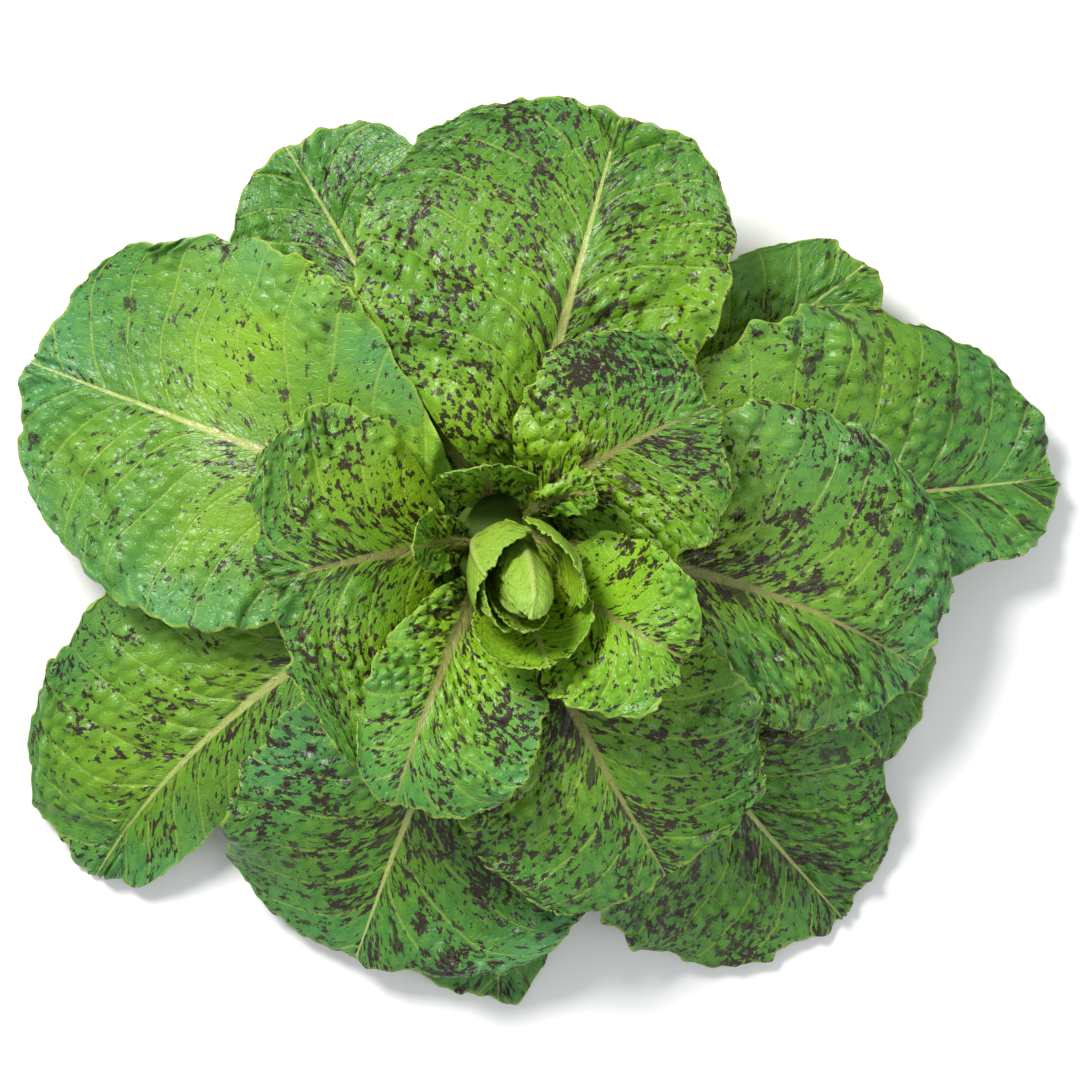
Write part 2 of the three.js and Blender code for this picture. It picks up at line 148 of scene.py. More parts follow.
def slow_noise(x, y, seed):
    """Smooth uneven heights from about -1 to 1 over a plane, with hills about one unit wide."""
    angles = np.random.default_rng(seed).uniform(0, 2 * np.pi, (64, 64))
    x0, y0 = np.floor(x).astype(int), np.floor(y).astype(int)
    fx, fy = x - x0, y - y0
    corners = []
    for dx, dy in ((0, 0), (1, 0), (0, 1), (1, 1)):
        angle = angles[(x0 + dx) % 64, (y0 + dy) % 64]
        corners.append(np.cos(angle) * (fx - dx) + np.sin(angle) * (fy - dy))
    sx, sy = smoothstep(0, 1, fx), smoothstep(0, 1, fy)
    low = corners[0] + (corners[1] - corners[0]) * sx
    high = corners[2] + (corners[3] - corners[2]) * sx
    return 1.5 * (low + (high - low) * sy)


# ---------------------------------------------------------------- the sheets of the frame's leaves
# The frame's leaves as sheets of points, in mm and degrees. Rosette leaves, outermost first.
# base, tip: azimuth of each end of the midrib; turn: extra heading of the midrib at the tip
# reach, height: horizontal distance and height of the tip; launch, droop: slope at each end
# left, right: half-widths of the blade, seen from the stem; widest: where, along the leaf
# dip: how far the left and right corners fall back beside the tip, as a share of the length
# cup: how far the sides turn up; wave: height, number and phase of the margin's undulations
FORMS = {
    "outer_leaf_1": dict(base=82, tip=84, turn=0, reach=108, height=3, launch=20, droop=-16,
                         left=30, right=30, widest=0.62, dip=(0.14, 0.14), cup=(4, 4), wave=(2, 2, 0.3)),
    "outer_leaf_2": dict(base=176, tip=172, turn=0, reach=122, height=3, launch=22, droop=-14,
                         left=34, right=32, widest=0.62, dip=(0.14, 0.12), cup=(4, 4), wave=(2, 2, 0.6)),
    "outer_leaf_3": dict(base=262, tip=269, turn=0, reach=145, height=2, launch=22, droop=-12,
                         left=28, right=40, widest=0.62, dip=(0.24, 0.1), cup=(4, 4), wave=(3, 2, 0.1)),
    "outer_leaf_4": dict(base=338, tip=340, turn=0, reach=142, height=3, launch=26, droop=-14,
                         left=36, right=42, widest=0.6, dip=(0.1, 0.08), cup=(8, 8), wave=(3, 2, 0.4)),
    "outer_leaf_5": dict(base=118, tip=119, turn=4, reach=142, height=20, launch=34, droop=-4,
                         left=42, right=44, widest=0.62, dip=(0.12, 0.08), cup=(10, 14), wave=(3, 2, 0.7)),
    "outer_leaf_6": dict(base=41, tip=38, turn=0, reach=143, height=20, launch=34, droop=-2,
                         left=32, right=30, widest=0.62, dip=(0.16, 0.1), cup=(22, 20), wave=(3, 2, 0.2)),
    "outer_leaf_7": dict(base=207, tip=219, turn=20, reach=166, height=3, launch=38, droop=-22,
                         left=26, right=58, widest=0.6, dip=(0.06, 0.14), cup=(-6, 6), wave=(4, 2, 0.5)),
    "outer_leaf_8": dict(base=250, tip=250, turn=0, reach=138, height=5, launch=40, droop=-28,
                         left=66, right=56, widest=0.7, dip=(0.12, 0.02), cup=(-8, 0), wave=(5, 2.5, 0.25)),
    "outer_leaf_9": dict(base=314, tip=312, turn=0, reach=158, height=3, launch=38, droop=-20,
                         left=47, right=58, widest=0.68, dip=(0.06, 0.08), cup=(4, -4), wave=(4, 2, 0.8)),
    "outer_leaf_10": dict(base=10, tip=7, turn=0, reach=174, height=9, launch=36, droop=-14,
                          left=62, right=30, widest=0.62, dip=(0.16, 0.02), cup=(6, 0), wave=(4, 2, 0.35)),
    "outer_leaf_11": dict(base=76, tip=75, turn=0, reach=138, height=46, launch=52, droop=4,
                          left=71, right=48, widest=0.64, dip=(0.13, 0.06), cup=(-4, 14), wave=(4, 2, 0.6)),
    "outer_leaf_12": dict(base=158, tip=159, turn=0, reach=158, height=20, launch=44, droop=-10,
                          left=62, right=63, widest=0.6, dip=(0.14, 0.1), cup=(6, 8), wave=(4, 2, 0.15)),
    "middle_leaf_1": dict(base=356, tip=343, turn=-18, reach=134, height=30, launch=50, droop=-20,
                          left=61, right=38, widest=0.64, dip=(0.14, 0.02), cup=(-4, -4), wave=(4, 2.5, 0.4)),
    "middle_leaf_2": dict(base=288, tip=296, turn=4, reach=115, height=34, launch=54, droop=-28,
                          left=54, right=48, widest=0.66, dip=(0.08, 0.06), cup=(-4, 0), wave=(4, 2.5, 0.9)),
    "middle_leaf_3": dict(base=182, tip=189, turn=6, reach=74, height=64, launch=62, droop=-10,
                          left=72, right=50, widest=0.62, dip=(0.1, 0.08), cup=(0, 0), wave=(4, 2, 0.3)),
    "middle_leaf_4": dict(base=48, tip=33, turn=-12, reach=77, height=72, launch=60, droop=-4,
                          left=38, right=40, widest=0.62, dip=(0.08, 0.06), cup=(0, 0), wave=(4, 2, 0.75)),
    "inner_leaf_1": dict(base=240, tip=247, turn=6, reach=88, height=56, launch=56, droop=-28,
                         left=38, right=22, widest=0.62, dip=(0.04, 0.14), cup=(6, 14), wave=(4, 3, 0.2)),
    "inner_leaf_2": dict(base=325, tip=328, turn=4, reach=65, height=78, launch=58, droop=-14,
                         left=28, right=31, widest=0.62, dip=(0.1, 0.04), cup=(8, 8), wave=(3, 2.5, 0.6)),
    "inner_leaf_3": dict(base=108, tip=104, turn=0, reach=24, height=66, launch=72, droop=84,
                         left=17, right=17, widest=0.7, dip=(0.16, 0.16), cup=(14, 14), wave=(1, 2, 0.1)),
    "inner_leaf_4": dict(base=56, tip=30, turn=0, reach=31, height=78, launch=56, droop=84,
                         left=9, right=9, widest=0.7, dip=(0.16, 0.16), cup=(14, 14), wave=(1, 2, 0.8)),
    "inner_leaf_5": dict(base=176, tip=181, turn=0, reach=27, height=80, launch=74, droop=70,
                         left=11, right=11, widest=0.7, dip=(0.16, 0.16), cup=(14, 14), wave=(1, 2, 0.5)),
}
# azimuth: the side of the heart a leaf stands on; rise: how far it reaches up and over the top
# span: how far each side wraps round; open: how far its tip stands out from its shell
HEARTS = {
    "heart_leaf_1": dict(azimuth=288, rise=112, span=66, open=0.22),
    "heart_leaf_2": dict(azimuth=28, rise=118, span=58, open=0.12),
    "heart_leaf_3": dict(azimuth=150, rise=120, span=80, open=0.06),
    "heart_leaf_4": dict(azimuth=205, rise=124, span=60, open=0.03),
    "heart_leaf_5": dict(azimuth=262, rise=130, span=66, open=0),
    "heart_leaf_6": dict(azimuth=80, rise=194, span=68, open=0),
    "heart_leaf_7": dict(azimuth=215, rise=156, span=68, open=0),
    "heart_leaf_8": dict(azimuth=350, rise=168, span=68, open=0),
}
CROWN = np.array([0, 0, 24.0])
CROWN_RADIUS = 17.0
JOINT_GAP = 0.6  # between a leaf's base and the stem
SEATS = (-42, 34)  # elevation on the crown of the first and the last rosette leaf's base
BASE_HALF_WIDTH = 7  # at most
BASE_SHARE = 0.5  # the most that a base may be, of the half-width at the widest
BASE_CLASP = 20  # how far a base's sides turn up round the stem
FLARE = 1.2  # how late a leaf widens from its base
SHOULDER = 0.72  # half-width at the blunt tip's corners, as a share of the widest
HANDLE = 0.38  # reach of the midrib's slope at each end, as a share of its span
TIP_ROUNDNESS = 3  # power by which the corners fall back
COLUMNS = np.array([-1, -0.72, -0.42, -0.16, 0, 0.16, 0.42, 0.72, 1])
ROWS = 10

HEART_ROWS = 9
HEART_RADIUS, HEART_STEP = 18.5, 2  # of the outermost shell, and less for each next one
HEART_BOTTOM, BOTTOM_STEP = 38, 1.9
HEART_TOP, TOP_STEP = 104, 2.2
HEART_FOOT = 26  # angle up the shell where a heart leaf starts
HEART_BASE_SPAN = 18  # degrees that its base wraps to each side
HEART_FULLNESS = 0.8
CORE_BASE = 38
LEAN = np.array([0.15, -0.34, 0])  # of the core and the heart, per millimetre above CORE_BASE


def heading(azimuth, elevation):
    a, e = math.radians(azimuth), math.radians(elevation)
    return np.array([math.cos(a) * math.cos(e), math.sin(a) * math.cos(e), math.sin(e)])


def half_width(form, side, v):
    wide = form["left"] if side < 0 else form["right"]
    if v < form["widest"]:
        base = min(BASE_HALF_WIDTH, BASE_SHARE * wide)
        return base + (wide - base) * math.sin(math.pi * v / (2 * form["widest"])) ** FLARE
    past = (v - form["widest"]) / (1 - form["widest"])
    return wide * (1 - (1 - SHOULDER) * past**2)


def free_sheet(form, seat):
    """A rosette leaf's upper sheet as it would hang free: [row][column] points."""
    start = CROWN + (CROWN_RADIUS + JOINT_GAP) * heading(form["base"], seat)
    end = form["reach"] * heading(form["tip"], 0) + (0, 0, form["height"])
    handle = HANDLE * np.linalg.norm(end - start)
    rising = start + handle * heading(form["base"], form["launch"])
    falling = end - handle * heading(form["tip"] + form["turn"], form["droop"])

    def place(t):
        s = 1 - t
        return s**3 * start + 3 * s**2 * t * rising + 3 * s * t**2 * falling + t**3 * end

    steps = np.linspace(0, 1, 201)
    path = np.array([place(t) for t in steps])
    travelled = np.r_[0, np.cumsum(np.linalg.norm(np.diff(path, axis=0), axis=1))]
    sheet = np.zeros((ROWS + 1, len(COLUMNS), 3))
    for j in range(ROWS + 1):
        for i, u in enumerate(COLUMNS):
            v, side, share = j / ROWS, -1 if u < 0 else 1, abs(u)
            station = v * (1 - form["dip"][side > 0] * share**TIP_ROUNDNESS)
            t = np.interp(station * travelled[-1], travelled, steps)
            along = place(min(1, t + 1e-4)) - place(max(0, t - 1e-4))
            along /= np.linalg.norm(along)
            across = np.cross(along, (0, 0, 1))
            across /= np.linalg.norm(across)
            width = half_width(form, side, v)
            turn_up = math.radians(form["cup"][side > 0] + BASE_CLASP * (1 - v) ** 3) or 1e-6
            height, number, phase = form["wave"]
            wave = height * share**2 * v * math.sin(2 * math.pi * (number * v + phase + 0.18 * side))
            sideways = width * math.sin(turn_up * share) / turn_up
            upwards = width * (1 - math.cos(turn_up * share)) / turn_up + wave
            sheet[j, i] = place(t) + side * sideways * across + upwards * np.cross(across, along)
    return sheet


def rosette_sheet(node, form, seat):
    """The sheet as the frame lays it: seen from the crown, each point stands over its free place."""
    free = free_sheet(form, seat) - CROWN
    corners = np.array([v.co for v in node.data.vertices]) / MM - CROWN
    distance = np.linalg.norm(corners, axis=1)
    level = np.hypot(corners[:, 0], corners[:, 1])
    azimuth = np.arctan2(corners[:, 1], corners[:, 0])
    sheet = free.copy()
    for j, i in np.ndindex(*sheet.shape[:2]):
        point = free[j, i]
        reach = max(np.linalg.norm(point), CROWN_RADIUS + JOINT_GAP)
        turn = azimuth - math.atan2(point[1], point[0])
        turn = (turn + math.pi) % (2 * math.pi) - math.pi
        sheet[j, i] = corners[np.hypot(distance - reach, level * turn).argmin()]
    sheet += CROWN
    # The tip's corners are cut off in the frame: they are put back before the blade is rounded.
    for side, beside in ((0, 1), (-1, -2)):
        middle = (sheet[-2, side] + sheet[-1, beside]) / 2
        square = sheet[-2, side] + sheet[-1, beside] - sheet[-2, beside]
        sheet[-1, side] = 0.5 * middle + 0.5 * square
    return sheet


def heart_sheet(form, index):
    """The inner sheet of a heart leaf: a patch of the egg-shaped shell with that number."""
    radius = HEART_RADIUS - HEART_STEP * index
    bottom = HEART_BOTTOM + BOTTOM_STEP * index
    top = HEART_TOP - TOP_STEP * index
    outward = heading(form["azimuth"], 0)
    sideways = np.cross(outward, (0, 0, 1))
    sheet = np.zeros((HEART_ROWS + 1, len(COLUMNS), 3))
    for j in range(HEART_ROWS + 1):
        for i, u in enumerate(COLUMNS):
            v = j / HEART_ROWS
            widening = math.sin(math.pi / 2 * min(1, v / 0.6))
            blunt = 1 - 0.2 * max(0, (v - 0.6) / 0.4) ** 2
            span = HEART_BASE_SPAN + (form["span"] - HEART_BASE_SPAN) * widening
            lateral = math.radians(span * blunt * u)
            rise = (form["rise"] - HEART_FOOT) * v * (1 - 0.08 * u * u)
            climb = math.radians(HEART_FOOT + rise)
            point = outward * math.cos(lateral) * math.sin(climb) + sideways * math.sin(lateral)
            swelling = np.linalg.norm(point) ** (HEART_FULLNESS - 1)
            point *= radius * swelling * (1 + form["open"] * v * v)
            point[2] = (top + bottom) / 2 - math.cos(lateral) * math.cos(climb) * (top - bottom) / 2
            sheet[j, i] = point + max(0, point[2] - CORE_BASE) * LEAN
    return sheet


def leaf_sheet(name):
    """The upper sheet of a leaf, or the inner sheet of a heart leaf, row by row from its base."""
    if name in HEARTS:
        return heart_sheet(HEARTS[name], list(HEARTS).index(name))
    order = list(FORMS).index(name)
    seat = SEATS[0] + (SEATS[1] - SEATS[0]) * order / (len(FORMS) - 1)
    return rosette_sheet(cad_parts[name], FORMS[name], seat)


def curve_weights(knots, places):
    """How much each knot counts at each place, on the smoothest curve through the knots."""
    count = len(knots)
    gap = np.diff(knots)
    bend = np.eye(count)
    slope = np.zeros((count, count))
    for i in range(1, count - 1):
        bend[i, i - 1:i + 2] = gap[i - 1], 2 * (gap[i - 1] + gap[i]), gap[i]
        slope[i, i - 1:i + 2] = 6 / gap[i - 1], -6 / gap[i - 1] - 6 / gap[i], 6 / gap[i]
    curl = np.linalg.solve(bend, slope)
    i = np.clip(np.searchsorted(knots, places, side="right") - 1, 0, count - 2)
    h = gap[i][:, None]
    a = (knots[i + 1] - places)[:, None] / h
    b = 1 - a
    one = np.eye(count)
    return a * one[i] + b * one[i + 1] + ((a**3 - a) * curl[i] + (b**3 - b) * curl[i + 1]) * h**2 / 6


# ---------------------------------------------------------------- shaping a leaf
# Lengths in mm. Those of veins, nibbles and hills are for a leaf of the usual size, and are scaled.
RIB = {"outer": 4.2, "middle": 4.2, "inner": 3.6, "heart": 1.2}  # thickness at the base
BLADE = {"outer": 0.75, "middle": 0.75, "inner": 0.7, "heart": 0.6}
MARGIN = 0.4
USUAL_VEIN = 13  # distance between the side veins on a leaf of the usual size
MOST_ROOM = 14.0  # how far the next leaf is looked for
ROOM_SHARE = 0.45  # of the clear space up to the next leaf, that a leaf's relief may use
FLOOR_SPARE = 0.4  # kept clear above the table
CORNER_CUT = 0.18  # how much the corners beside the tip are rounded off
FLOW_SCALE = 0.01  # of the map that follows the veins, per millimetre
OTHER_SIDE = 9.0  # how far apart the map keeps the leaf's two sides


def lay_on(grid, u, v):
    """Points of the smooth sheet through the frame's grid, at places across (u) and along (v) it."""
    across = curve_weights(COLUMNS, u.ravel())
    along = curve_weights(np.linspace(0, 1, len(grid)), v.ravel())
    return np.einsum("ni,ijk,nj->nk", along, grid, across).reshape(*u.shape, 3)


def lengths(points, axis):
    """Distance travelled along the rows or the columns of a sheet of points."""
    steps = np.linalg.norm(np.diff(points, axis=axis), axis=2)
    start = np.zeros_like(np.take(steps, [0], axis=axis))
    return np.concatenate([start, np.cumsum(steps, axis=axis)], axis=axis)


def upright(points):
    """Unit normals of a sheet of points, out of its upper side."""
    normals = np.cross(np.gradient(points, axis=1), np.gradient(points, axis=0))
    return normals / np.linalg.norm(normals, axis=2, keepdims=True)


def room(tree, points, normals, down, stride=4):
    """How far each point may move before it meets another leaf or the floor, in mm."""
    rows = np.unique(np.r_[0:points.shape[0]:stride, points.shape[0] - 1])
    cols = np.unique(np.r_[0:points.shape[1]:stride, points.shape[1] - 1])
    found = np.full((len(rows), len(cols)), MOST_ROOM)
    for a, j in enumerate(rows):
        for b, i in enumerate(cols):
            way = Vector(-normals[j, i] if down else normals[j, i])
            start = Vector(points[j, i] * MM) + way * 0.0002
            distance = tree.ray_cast(start, way, MOST_ROOM * MM)[3]
            if distance is not None:
                found[a, b] = distance / MM
            if way.z < -0.05:
                found[a, b] = min(found[a, b], (points[j, i, 2] - FLOOR_SPARE) / -way.z)
    tight = found.copy()
    for shift in ((1, 0), (-1, 0), (0, 1), (0, -1)):
        tight = np.minimum(tight, np.roll(found, shift, (0, 1)) + 1.5)
    along = np.array([np.interp(np.arange(points.shape[1]), cols, row) for row in tight])
    return np.array([np.interp(np.arange(points.shape[0]), rows, column) for column in along.T]).T


def quilting(strip, out, spacing, cell, seed):
    """Distance from the net of small veins: 0 on it, about 1 in the middle of each blister."""
    chance = np.random.default_rng(seed)
    strips = np.arange(math.floor(strip.min()) - 1, math.ceil(strip.max()) + 2)
    steps = np.arange(-1, math.ceil(out.max() / (1.15 * cell)) + 2)
    middles = []
    for k in strips:
        for side in (-0.25, 0.25):
            across = (k + 0.5 + side + chance.uniform(-0.12, 0.12, len(steps))) * spacing
            along = (steps + chance.uniform(-0.35, 0.35, len(steps)) + side) * 1.15 * cell
            middles.append(np.stack([across, along], 1))
    middles = np.concatenate(middles)
    places = np.stack([strip.ravel() * spacing, out.ravel()], 1)
    apart = ((places[:, None] - middles[None]) ** 2).sum(2)
    nearest = np.sqrt(np.partition(apart, 1, axis=1)[:, :2])
    edge = np.clip((nearest[:, 1] - nearest[:, 0]) / cell, 0, 1)
    return (1 - (1 - edge) ** 2).reshape(strip.shape)


def soften(limit, height):
    """A height that eases towards a limit and never passes it."""
    limit = np.maximum(limit, 0.05)
    return limit * np.tanh(height / limit)


def across_and_along(points):
    """Distance from the midrib, to the left below 0, and from the base, at every point."""
    x = lengths(points, 1)
    x -= x[:, [points.shape[1] // 2]]
    return x, lengths(points, 0)


def cut_outline(grid, u, v, look):
    """The leaf's smooth sheet, with rounded corners beside the tip and an unevenly nibbled margin."""
    size = look["vein"] / USUAL_VEIN
    tall = lengths(grid, 0)[-1, 4]
    wide = lengths(grid, 1)[:, -1].max()
    tip = np.clip((v - 0.5) / 0.5, 0, 1)
    u2 = u * np.sqrt(1 - CORNER_CUT * tip**2)
    v2 = np.where(v > 0.5, 0.5 + 0.5 * tip * np.sqrt(1 - CORNER_CUT * u**2), v)
    x, y = across_and_along(lay_on(grid, u2, v2))
    bite = slow_noise(x / 11 / size + 7, y / 11 / size, look["seed"])
    bite = bite + 0.5 * slow_noise(x / 4.5 / size, y / 4.5 / size + 3, look["seed"] + 50)
    bite = look["nibble"] * (0.75 + bite) * smoothstep(0.08, 0.4, v)
    return lay_on(grid, u2 * (1 - 2 * bite / wide * np.abs(u) ** 7), v2 - bite / tall * v**9)


def follow_veins(x, y, look):
    """Place on the flow of the side veins, which leave the midrib steeply and bend outwards."""
    size = look["vein"] / USUAL_VEIN
    out = np.abs(x)
    rise = 0.62 * out + 9 * size * (1 - np.exp(-out / 9 / size))
    waver = 2.6 * size * slow_noise(x / 26 / size + 11, y / 26 / size, look["seed"] + 100)
    side = 0.5 + 0.5 * np.tanh(x / 1.5)
    stream = y - rise + waver
    return stream, 1.25 * out, stream / look["vein"] + 0.45 * side, side


def relief(x, y, v, margin, rib_width, veins, look):
    """Height of the blisters, grooves, slow waves and ruffles over the smooth sheet."""
    size = look["vein"] / USUAL_VEIN
    stream, sideways, lateral, side = veins
    seed, wave = look["seed"], look["wave"]
    out = np.abs(x)
    left, right = (quilting(lateral, sideways, look["vein"], look["cell"], seed + n) for n in (200, 300))
    quilt = np.where(x < 0, left, right)
    vein_gap = np.abs(lateral - np.round(lateral)) * look["vein"] * 0.8
    clear = smoothstep(0.6 * rib_width, rib_width + 6 * size, out)
    patchy = 0.85 + 0.4 * slow_noise(x / 30 + 5, y / 30, seed + 400)
    fade = 0.45 + 0.55 * smoothstep(0, 12 * size, margin)
    height = look["blister"] * (quilt - 0.55) * clear * patchy * fade
    height -= 0.7 * size * np.exp(-(vein_gap / 1.4 / size) ** 2) * clear * smoothstep(0, 8 * size, margin)
    height += look["swell"] * slow_noise(x / 42 / size, y / 42 / size + 9, seed + 500)
    folds = slow_noise(stream / (0.42 * wave), sideways / (1.3 * wave) + 40 * side, seed + 600)
    folds += 0.4 * slow_noise(stream / (0.17 * wave), sideways / wave + 40 * side, seed + 700)
    height += look["ruffle"] * folds * np.exp(-(margin / (0.75 * wave)) ** 1.5)
    height -= 0.9 * size * np.exp(-(x / (0.8 * rib_width)) ** 2) * smoothstep(0.02, 0.2, v)
    return height * smoothstep(0.0, 0.16, v), quilt, vein_gap


def shape_leaf(name, look, tree):
    """The leaf's fine upper sheet, with what its surface needs to know at every point."""
    kind = name.split("_")[0]
    grid = leaf_sheet(name)
    size = look["vein"] / USUAL_VEIN
    slender = lengths(grid, 0)[-1, 4] / lengths(grid, 1)[:, -1].max()
    across = look["grid"]
    along = int(across * min(1.3, max(0.9, slender)))
    bpy.ops.mesh.primitive_grid_add(x_subdivisions=across, y_subdivisions=along, size=2)
    blade = bpy.context.object
    blade.name = name.replace("leaf", "blade")
    flat = np.zeros(len(blade.data.vertices) * 3)
    blade.data.vertices.foreach_get("co", flat)
    flat = flat.reshape(-1, 3)
    order = np.lexsort((flat[:, 0].round(5), flat[:, 1].round(5)))
    u = flat[order, 0].reshape(-1, across + 1)
    v = (flat[order, 1].reshape(-1, across + 1) + 1) / 2

    points = cut_outline(grid, u, v, look)
    x, y = across_and_along(points)
    margin = np.minimum(np.minimum(x[:, [-1]] - x, x - x[:, [0]]), y[[-1]] - y)
    margin = np.maximum(margin, 0)
    rib_width = (1.0 + 5.0 * (1 - v) ** 1.6) * (0.4 + 0.6 * size)
    veins = follow_veins(x, y, look)
    height, quilt, vein_gap = relief(x, y, v, margin, rib_width, veins, look)
    normals = upright(points)
    rise_room = ROOM_SHARE * room(tree, points, normals, False) - 0.2
    fall_room = ROOM_SHARE * room(tree, points, normals, True) - 0.5
    height = np.where(height > 0, soften(rise_room, height), -soften(fall_room, -height))
    place = np.empty_like(flat)
    place[order] = (points + normals * height[..., None]).reshape(-1, 3) * MM
    blade.data.vertices.foreach_set("co", place.ravel())

    thick = MARGIN + (BLADE[kind] - MARGIN) * smoothstep(0, 5, margin)
    thick += (RIB[kind] * (1 - v) ** 0.8 + 0.4) * np.exp(-(x / (0.75 * rib_width)) ** 2)
    ridges = np.exp(-(vein_gap / 0.9 / size) ** 2) * smoothstep(0, 10, margin) * (1 - 0.5 * v)
    thick += 0.5 * size * ridges
    flow = np.stack(veins[:2], 2) * FLOW_SCALE
    facts = {"across": x, "along": v, "lateral": veins[2], "quilt": quilt, "margin": margin}
    return blade, order, facts, flow, thick


def store(data, name, values):
    data.attributes.new(name, "FLOAT", "POINT").data.foreach_set("value", values)


def in_order(order, values):
    """Values of the rows of points, put in the order of the mesh's own points."""
    placed = np.empty((len(order), *values.shape[2:]))
    placed[order] = values.reshape(placed.shape)
    return placed


def map_flow(data, flow, x):
    """Lays out the blade along its veins, with the two sides of the midrib kept apart."""
    corners = np.zeros(len(data.loops), int)
    data.loops.foreach_get("vertex_index", corners)
    middles = np.array([x[list(face.vertices)].mean() for face in data.polygons])
    right = np.repeat(middles > 0, [face.loop_total for face in data.polygons])
    uv = flow[corners]
    uv[:, 1] += np.where(right, OTHER_SIDE, 0.0)
    layer = data.uv_layers.active or data.uv_layers.new()
    layer.name = "flow"
    layer.data.foreach_set("uv", uv.ravel())


def thicken(blade, thick):
    """Adds the lower sheet, as far below the upper one as each point's own thickness."""
    most = thick.max()
    group = blade.vertex_groups.new(name="thickness")
    for index, weight in enumerate(thick / most):
        group.add([index], float(weight), "REPLACE")
    solid = blade.modifiers.new("thickness", "SOLIDIFY")
    solid.thickness = most * MM
    solid.offset = -1
    solid.vertex_group = "thickness"
    bpy.ops.object.modifier_apply(modifier="thickness")
    blade.vertex_groups.clear()


def finish_leaf(name, look, tree, material):
    """Gives the sheet its thickness and midrib, and stores what its material reads."""
    blade, order, facts, flow, thick = shape_leaf(name, look, tree)
    data = blade.data
    for fact, values in facts.items():
        store(data, fact, in_order(order, values))
    map_flow(data, in_order(order, flow), in_order(order, facts["across"]))
    thicken(blade, in_order(order, thick))
    under = np.zeros(len(data.vertices))
    under[len(order):] = 1
    store(data, "under", under)
    for fact in ("speckle", "blotch", "blue", "pale", "seed"):
        store(data, fact, np.full(len(data.vertices), float(look[fact])))
    bpy.ops.object.shade_smooth()
    data.materials.append(material)
    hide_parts(name)
    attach(blade, "root")


# ---------------------------------------------------------------- materials
def new_group(name, inputs, outputs):
    """A node group with its sockets: inputs and outputs are (name, kind, value) and (name, kind)."""
    group = bpy.data.node_groups.new(name, "ShaderNodeTree")
    for label, kind, value in inputs:
        socket = group.interface.new_socket(name=label, in_out="INPUT", socket_type="NodeSocket" + kind)
        socket.default_value = value
    for label, kind in outputs:
        group.interface.new_socket(name=label, in_out="OUTPUT", socket_type="NodeSocket" + kind)
    entry = group.nodes.new("NodeGroupInput")
    leave = group.nodes.new("NodeGroupOutput")
    return group, entry.outputs, leave.inputs


def feed(tree, socket, value):
    if isinstance(value, bpy.types.NodeSocket):
        tree.links.new(value, socket)
    else:
        socket.default_value = value


def calc(tree, operation, *values, clamp=False):
    """One arithmetic step; values are numbers or sockets."""
    node = tree.nodes.new("ShaderNodeMath")
    node.operation = operation
    node.use_clamp = clamp
    for socket, value in zip(node.inputs, values):
        feed(tree, socket, value)
    return node.outputs[0]


def ramp(tree, value, low, high, start=0.0, end=1.0):
    """Rises smoothly from start to end as value goes from low to high."""
    node = tree.nodes.new("ShaderNodeMapRange")
    node.interpolation_type = "SMOOTHSTEP"
    for socket, number in zip(node.inputs, (value, low, high, start, end)):
        feed(tree, socket, number)
    return node.outputs[0]


def blend(tree, share, under, over):
    """Two colours mixed by a share."""
    node = tree.nodes.new("ShaderNodeMix")
    node.data_type = "RGBA"
    feed(tree, node.inputs[0], share)
    feed(tree, node.inputs[6], under)
    feed(tree, node.inputs[7], over)
    return node.outputs[2]


def noise(tree, vector, scale, detail=2.0, roughness=0.5):
    node = tree.nodes.new("ShaderNodeTexNoise")
    feed(tree, node.inputs["Vector"], vector)
    for label, number in (("Scale", scale), ("Detail", detail), ("Roughness", roughness)):
        node.inputs[label].default_value = number
    return node.outputs[0]


def combine(tree, x, y, z):
    node = tree.nodes.new("ShaderNodeCombineXYZ")
    for socket, value in zip(node.inputs, (x, y, z)):
        feed(tree, socket, value)
    return node.outputs[0]


def stored(tree, name):
    node = tree.nodes.new("ShaderNodeAttribute")
    node.attribute_name = name
    return node.outputs["Fac"]


def vein_group():
    """Masks of the midrib, the side veins and the fine net, from places across and along the leaf."""
    group, given, out = new_group(
        "vein network",
        [("Across", "Float", 0.0), ("Along", "Float", 0.0), ("Lateral", "Float", 0.0),
         ("Quilt", "Float", 0.0), ("Stream", "Float", 0.0), ("Sideways", "Float", 0.0),
         ("Spacing", "Float", 13.0)],
        [("Midrib", "Float"), ("Side Veins", "Float"), ("Net", "Float")])
    away = calc(group, "ABSOLUTE", given["Across"])
    back = calc(group, "POWER", calc(group, "SUBTRACT", 1.0, given["Along"], clamp=True), 1.5)
    width = calc(group, "MULTIPLY_ADD", back, 3.0, 0.28)
    group.links.new(ramp(group, calc(group, "DIVIDE", away, width), 0.55, 1.25, 1.0, 0.0), out["Midrib"])
    gap = calc(group, "MULTIPLY", calc(group, "PINGPONG", given["Lateral"], 0.5), given["Spacing"])
    thin = calc(group, "MULTIPLY_ADD", away, -0.006, 0.75)
    group.links.new(ramp(group, calc(group, "DIVIDE", gap, thin), 0.3, 1.3, 1.0, 0.0), out["Side Veins"])
    cells = group.nodes.new("ShaderNodeTexVoronoi")
    cells.feature = "DISTANCE_TO_EDGE"
    feed(group, cells.inputs["Vector"], combine(group, given["Stream"], given["Sideways"], 0.0))
    cells.inputs["Scale"].default_value = 0.42
    fine = ramp(group, cells.outputs[0], 0.0, 0.09, 0.6, 0.0)
    coarse = ramp(group, given["Quilt"], 0.0, 0.2, 0.9, 0.0)
    group.links.new(calc(group, "MAXIMUM", fine, coarse), out["Net"])
    return group


